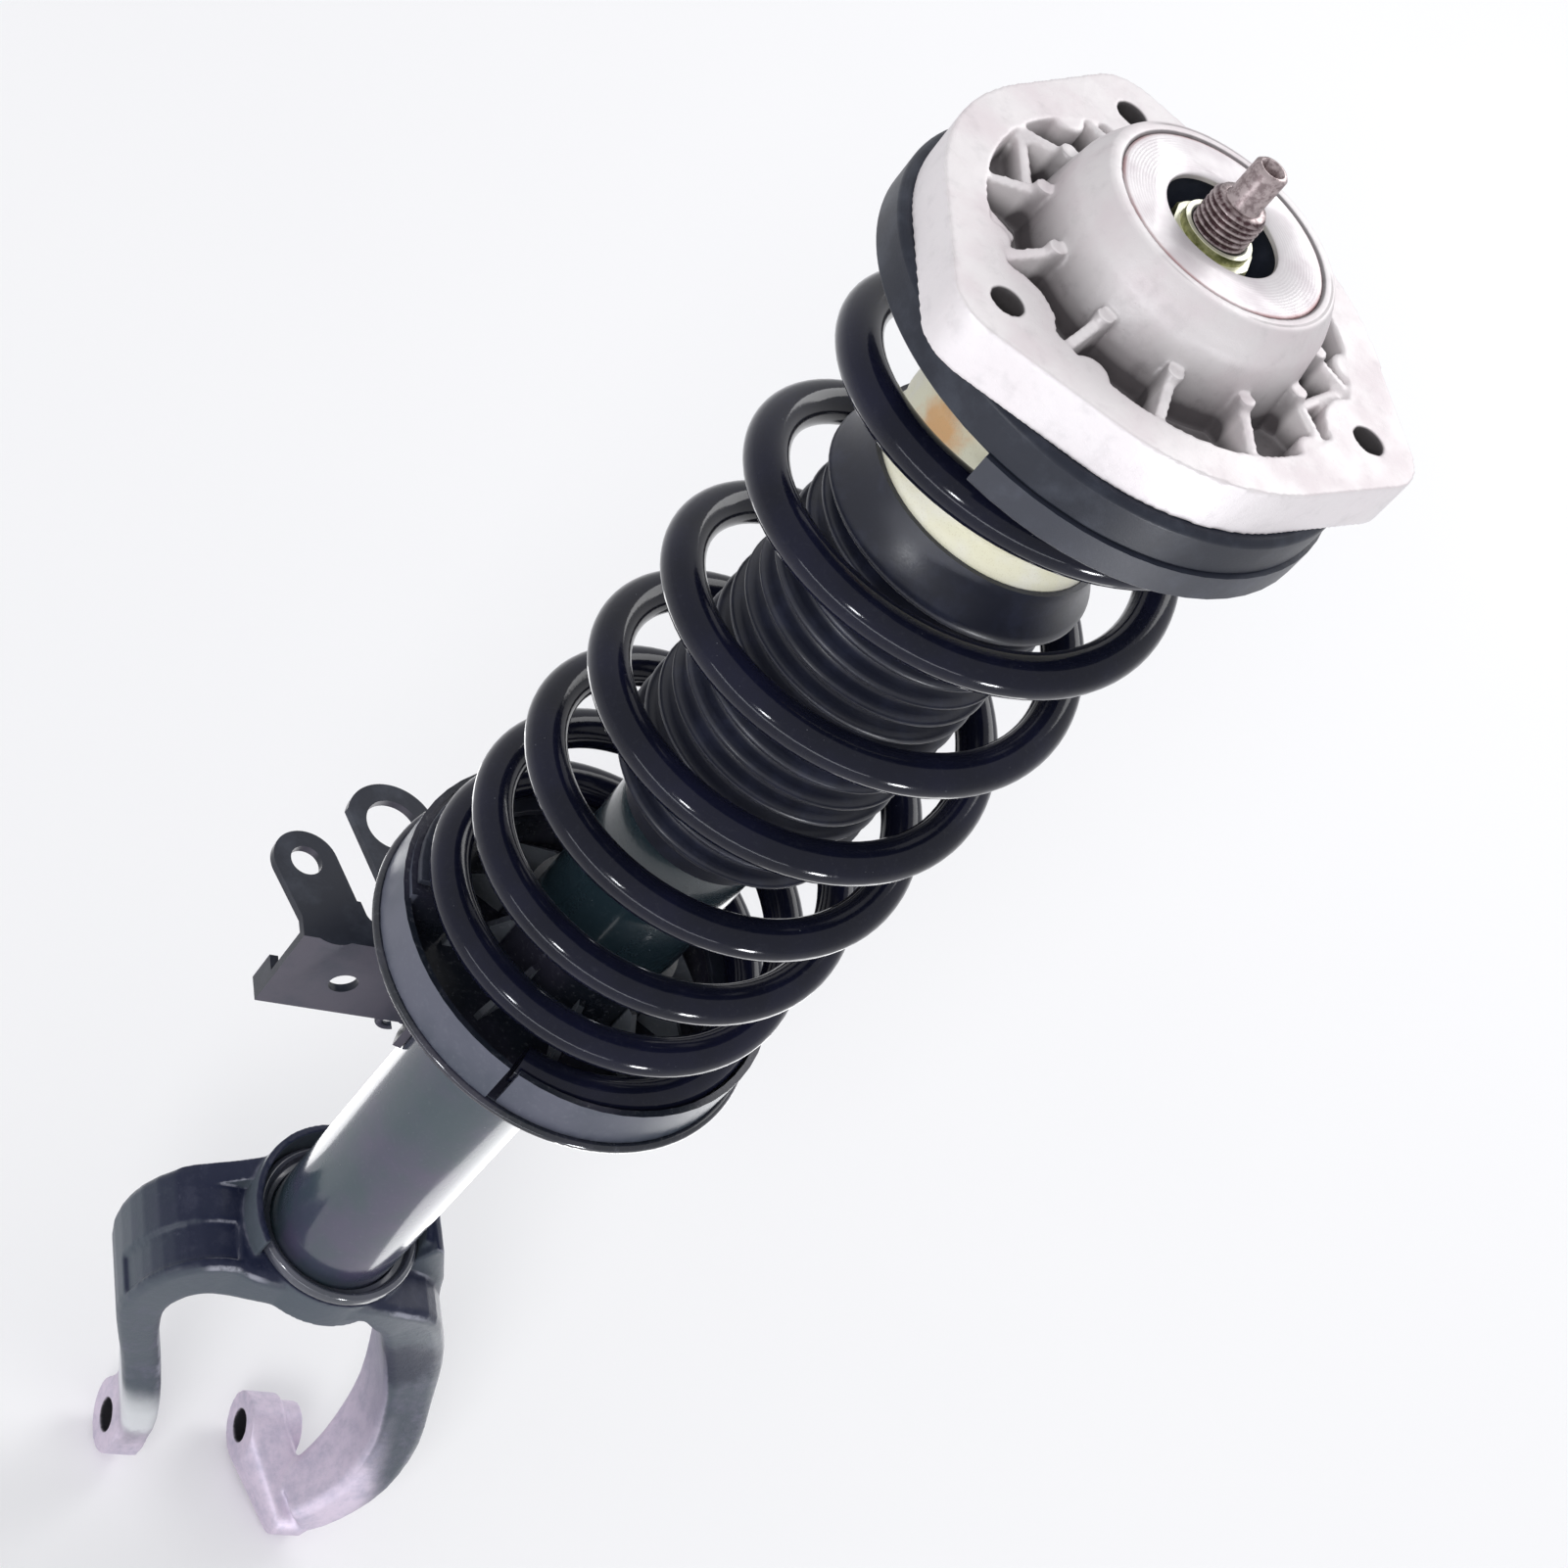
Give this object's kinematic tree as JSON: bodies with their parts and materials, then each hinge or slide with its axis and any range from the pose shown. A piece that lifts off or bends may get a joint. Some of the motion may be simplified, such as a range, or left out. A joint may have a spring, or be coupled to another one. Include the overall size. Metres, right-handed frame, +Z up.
{
  "type": "strut assembly",
  "caption": "Car suspension strut with a forked lower casting, damper tube, black coil spring, ribbed boot, pale bump stop and a lobed cast top mount.",
  "frame": {"origin": "on the damper axis, in the plane of the top mount's flange face, at the centre of its three bolts", "axes": "+Z up along the damper axis towards the stud, +X along the fork bolt, -Y towards the side to which the fork's feet are set forward"},
  "size_m": [0.1578, 0.1578, 0.706],
  "materials": {
    "die_cast_aluminium": "bright as-cast aluminium with a fine satin grain",
    "pressed_plate": "pale satin pressed plate",
    "yellow_zinc": "yellow passivated zinc plating",
    "bare_steel": "bare turned steel with a light oil film",
    "ground_rod": "hard-chromed ground rod with a grey rolled thread",
    "black_enamel": "glossy black baked enamel",
    "spring_coat": "glossy black powder coat with a blue cast",
    "satin_black": "satin black electrocoat",
    "black_rubber": "black moulded rubber",
    "boot_rubber": "black thermoplastic rubber with a soft sheen",
    "foam_polyurethane": "pale yellow cellular polyurethane",
    "fork_casting": "black paint over cast aluminium, bare at the feet",
    "machined_aluminium": "turned aluminium",
    "band_plastic": "bronze-filled band plastic",
    "bush_bronze": "sintered bronze"
  },
  "bodies": {
    "upper": {"mount_casting": "die_cast_aluminium", "hub_cover_plate": "pressed_plate", "mount_bushing": "black_rubber", "bushing_sleeve": "bare_steel", "upper_cup_washer": "bare_steel", "lower_cup_washer": "bare_steel", "top_nut": "yellow_zinc", "piston_rod": "ground_rod", "upper_spring_seat": "satin_black", "upper_spring_pad": "black_rubber", "bump_stop_cup": "satin_black", "bump_stop": "foam_polyurethane", "dust_boot": "boot_rubber", "coil_spring": "spring_coat", "rebound_stop": "bare_steel", "upper_shims": "bare_steel", "piston": "machined_aluminium", "piston_band": "band_plastic", "lower_shims": "bare_steel", "piston_nut": "bare_steel"},
    "lower": {"damper_tube": "black_enamel", "bump_cap": "black_enamel", "rod_guide": "machined_aluminium", "guide_bush": "bush_bronze", "rod_seal": "black_rubber", "inner_cylinder": "bare_steel", "base_valve": "machined_aluminium", "base_valve_disc": "bare_steel", "tube_bottom_cap": "bare_steel", "lower_perch": "black_enamel", "lower_spring_pad": "black_rubber", "hose_bracket": "satin_black", "fork_collar_ring": "black_enamel", "fork": "fork_casting"}
  },
  "joints": [
    {"name": "damper_stroke", "type": "slide", "parent": "upper", "child": "lower", "axis": [0, 0, 1], "range_m": [0, 0.115], "stiffness_N_per_m": 30000, "springref_m": -0.015, "deforming": ["coil_spring", "dust_boot"]}
  ]
}
